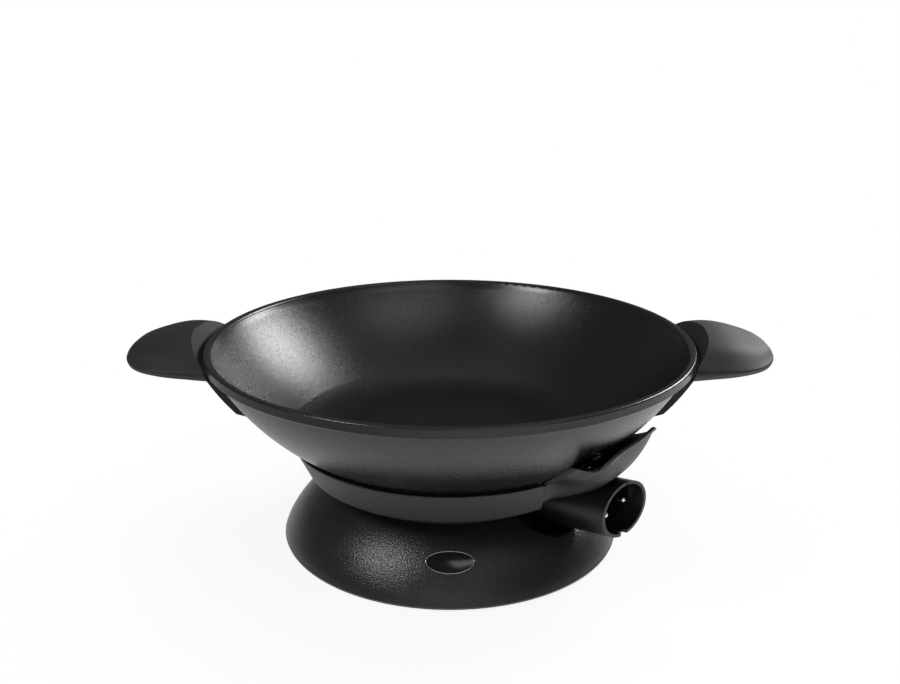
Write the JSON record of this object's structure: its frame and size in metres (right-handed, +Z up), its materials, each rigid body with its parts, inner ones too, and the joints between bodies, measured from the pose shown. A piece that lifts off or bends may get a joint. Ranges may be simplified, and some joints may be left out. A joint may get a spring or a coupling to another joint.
{
  "type": "electric wok",
  "caption": "Electric wok: coated cast pan with two leaf-shaped handles and a side connector tube, lifting off a flared base with a dished rest and a centre latch clip.",
  "frame": {"origin": "on the table, on the pan's upright axis, which is also the base's", "axes": "+Z up, the handles along +X and -X, -Y towards the front with the oval badge; the connector tube points 35 degrees from +X towards -Y"},
  "size_m": [0.4762, 0.36, 0.1614],
  "materials": {
    "pan_coating": "cast aluminium under a satin black non-stick coating",
    "sheet_black": "satin black enamelled sheet",
    "cover_black": "matte black phenolic",
    "bakelite": "satin black phenolic, finely grained",
    "base_plastic": "satin black, finely grained",
    "steel": "brushed stainless steel",
    "screw_steel": "zinc plated",
    "rivet_dark": "blackened steel",
    "bright": "bright nickel plate",
    "ceramic": "dark moulded insulator",
    "badge_black": "gloss black, bare",
    "rubber": "matte black rubber"
  },
  "bodies": {
    "base": {"badge_plate": "badge_black", "badge_rim": "bright", "base_pedestal": "base_plastic", "base_plate": "base_plastic", "dish": "sheet_black", "dish_screw_1": "screw_steel", "dish_screw_2": "screw_steel", "dish_screw_3": "screw_steel", "latch_clip": "bright", "latch_nut": "screw_steel", "latch_screw": "screw_steel", "plate_screw_1": "screw_steel", "plate_screw_2": "screw_steel", "plate_screw_3": "screw_steel", "rubber_foot_1": "rubber", "rubber_foot_2": "rubber", "rubber_foot_3": "rubber", "rubber_foot_4": "rubber"},
    "wok": {"bottom_cover": "cover_black", "bracket_left": "steel", "bracket_right": "steel", "connector_shroud": "bakelite", "contact_pin_1": "bright", "contact_pin_2": "bright", "cover_screw_1": "screw_steel", "cover_screw_2": "screw_steel", "cover_screw_3": "screw_steel", "element_skirt": "sheet_black", "handle_left": "bakelite", "handle_right": "bakelite", "handle_screw_left_1": "screw_steel", "handle_screw_left_2": "screw_steel", "handle_screw_right_1": "screw_steel", "handle_screw_right_2": "screw_steel", "heat_guard": "bakelite", "heating_element": "steel", "pan": "pan_coating", "probe_sleeve": "bright", "skirt_rivet_1": "rivet_dark", "skirt_rivet_2": "rivet_dark", "skirt_rivet_3": "rivet_dark", "skirt_rivet_4": "rivet_dark", "skirt_rivet_5": "rivet_dark", "skirt_rivet_6": "rivet_dark", "terminal_block": "ceramic", "tongue_screw": "screw_steel"}
  },
  "joints": [
    {"name": "wok_lift", "type": "slide", "parent": "base", "child": "wok", "axis": [0, 0, 1], "range_m": [0, 0.11]}
  ]
}
